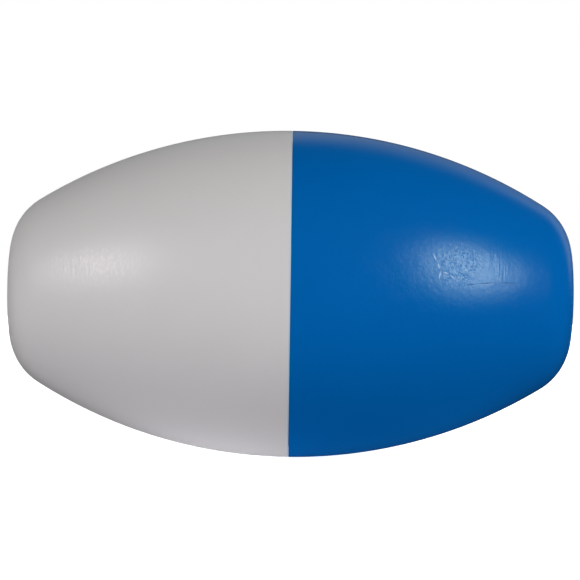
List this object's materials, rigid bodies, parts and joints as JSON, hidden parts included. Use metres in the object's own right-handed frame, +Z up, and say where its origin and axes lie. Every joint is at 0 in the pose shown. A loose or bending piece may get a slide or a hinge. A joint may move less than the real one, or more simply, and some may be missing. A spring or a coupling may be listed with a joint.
{
  "type": "rope float",
  "caption": "Hollow bicolour barrel float with blunt ends that threads on a lane rope and grips it when its halves are twisted together.",
  "frame": {"origin": "on the rope's axis, in the plane where the halves meet, which is the centre of the float", "axes": "+X along the rope's axis towards the blue half, +Z up as the float lies in the water; the white half is at -X"},
  "size_m": [0.2286, 0.1334, 0.1334],
  "materials": {
    "white_plastic": "satin moulded polyethylene",
    "blue_plastic": "satin moulded polyethylene, lightly scuffed",
    "lock_plastic": "natural acetal",
    "snap_ring_plastic": "glass-filled nylon",
    "seal_rubber": "matt rubber"
  },
  "bodies": {
    "white_half": {"white_shell": "white_plastic", "white_bulkhead": "white_plastic", "white_rope_tube": "white_plastic", "seam_seal_ring": "seal_rubber", "collet_ring": "lock_plastic"},
    "closing_ring": {"closing_ring": "lock_plastic"},
    "blue_half": {"blue_shell": "blue_plastic", "blue_bulkhead": "blue_plastic", "blue_rope_tube": "blue_plastic", "snap_ring": "snap_ring_plastic"},
    "finger_1": {"collet_finger_1": "lock_plastic"},
    "finger_2": {"collet_finger_2": "lock_plastic"},
    "finger_3": {"collet_finger_3": "lock_plastic"},
    "finger_4": {"collet_finger_4": "lock_plastic"},
    "finger_5": {"collet_finger_5": "lock_plastic"},
    "finger_6": {"collet_finger_6": "lock_plastic"}
  },
  "joints": [
    {"name": "ring_travel", "type": "slide", "parent": "white_half", "child": "closing_ring", "axis": [1, 0, 0], "range_m": [0, 0.008]},
    {"name": "half_twist", "type": "hinge", "parent": "closing_ring", "child": "blue_half", "pos_m": [0, 0, 0], "axis": [1, 0, 0], "range_deg": [0, 120]},
    {"name": "finger_1_flex", "type": "hinge", "parent": "white_half", "child": "finger_1", "pos_m": [0.00135, 0.0162, 0], "axis": [0, 0, 1], "range_deg": [0, 5.2]},
    {"name": "finger_2_flex", "type": "hinge", "parent": "white_half", "child": "finger_2", "pos_m": [0.00135, 0.0081, 0.01403], "axis": [0, -0.866, 0.5], "range_deg": [0, 5.2]},
    {"name": "finger_3_flex", "type": "hinge", "parent": "white_half", "child": "finger_3", "pos_m": [0.00135, -0.0081, 0.01403], "axis": [0, -0.866, -0.5], "range_deg": [0, 5.2]},
    {"name": "finger_4_flex", "type": "hinge", "parent": "white_half", "child": "finger_4", "pos_m": [0.00135, -0.0162, 0], "axis": [0, 0, -1], "range_deg": [0, 5.2]},
    {"name": "finger_5_flex", "type": "hinge", "parent": "white_half", "child": "finger_5", "pos_m": [0.00135, -0.0081, -0.01403], "axis": [0, 0.866, -0.5], "range_deg": [0, 5.2]},
    {"name": "finger_6_flex", "type": "hinge", "parent": "white_half", "child": "finger_6", "pos_m": [0.00135, 0.0081, -0.01403], "axis": [0, 0.866, 0.5], "range_deg": [0, 5.2]}
  ],
  "couplings": [
    {"joint": "ring_travel", "follows": "half_twist", "m_per_rad": 0.0038197},
    {"joint": "finger_1_flex", "follows": "half_twist", "ratio": 0.04333},
    {"joint": "finger_2_flex", "follows": "half_twist", "ratio": 0.04333},
    {"joint": "finger_3_flex", "follows": "half_twist", "ratio": 0.04333},
    {"joint": "finger_4_flex", "follows": "half_twist", "ratio": 0.04333},
    {"joint": "finger_5_flex", "follows": "half_twist", "ratio": 0.04333},
    {"joint": "finger_6_flex", "follows": "half_twist", "ratio": 0.04333}
  ]
}
